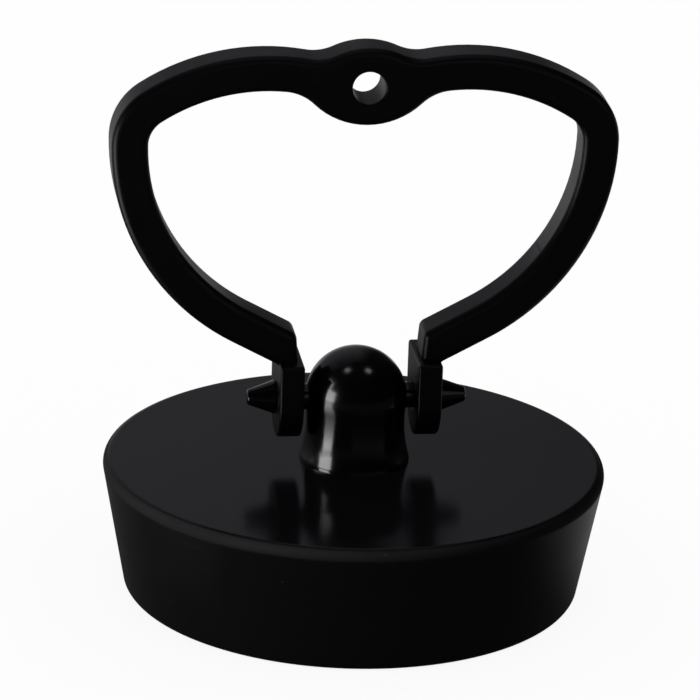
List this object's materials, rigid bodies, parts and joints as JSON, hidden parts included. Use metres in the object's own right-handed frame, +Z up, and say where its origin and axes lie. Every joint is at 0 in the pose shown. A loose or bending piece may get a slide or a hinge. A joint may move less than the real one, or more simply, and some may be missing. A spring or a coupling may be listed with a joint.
{
  "type": "drain stopper",
  "caption": "Tapered rubber drain stopper with a moulded post and a heart-shaped pull that folds down on a cross pin.",
  "frame": {"origin": "centre of the flat ring that the rubber stands on", "axes": "+Z up along the post, X along the pivot pin, -Y towards the front; the pull stands upright in the XZ plane"},
  "size_m": [0.046, 0.046, 0.0518],
  "materials": {
    "rubber": "black rubber, satin on top and matte at the side",
    "post_plastic": "gloss black moulding",
    "pin_plastic": "gloss black moulding",
    "handle_plastic": "satin black moulding"
  },
  "bodies": {
    "plug": {"rubber_plug": "rubber", "post": "post_plastic", "pivot_pin": "pin_plastic"},
    "pull": {"pull_handle": "handle_plastic"}
  },
  "joints": [
    {"name": "pull_hinge", "type": "hinge", "parent": "plug", "child": "pull", "pos_m": [0, 0, 0.0183], "axis": [1, 0, 0], "range_deg": [-105, 105]}
  ]
}
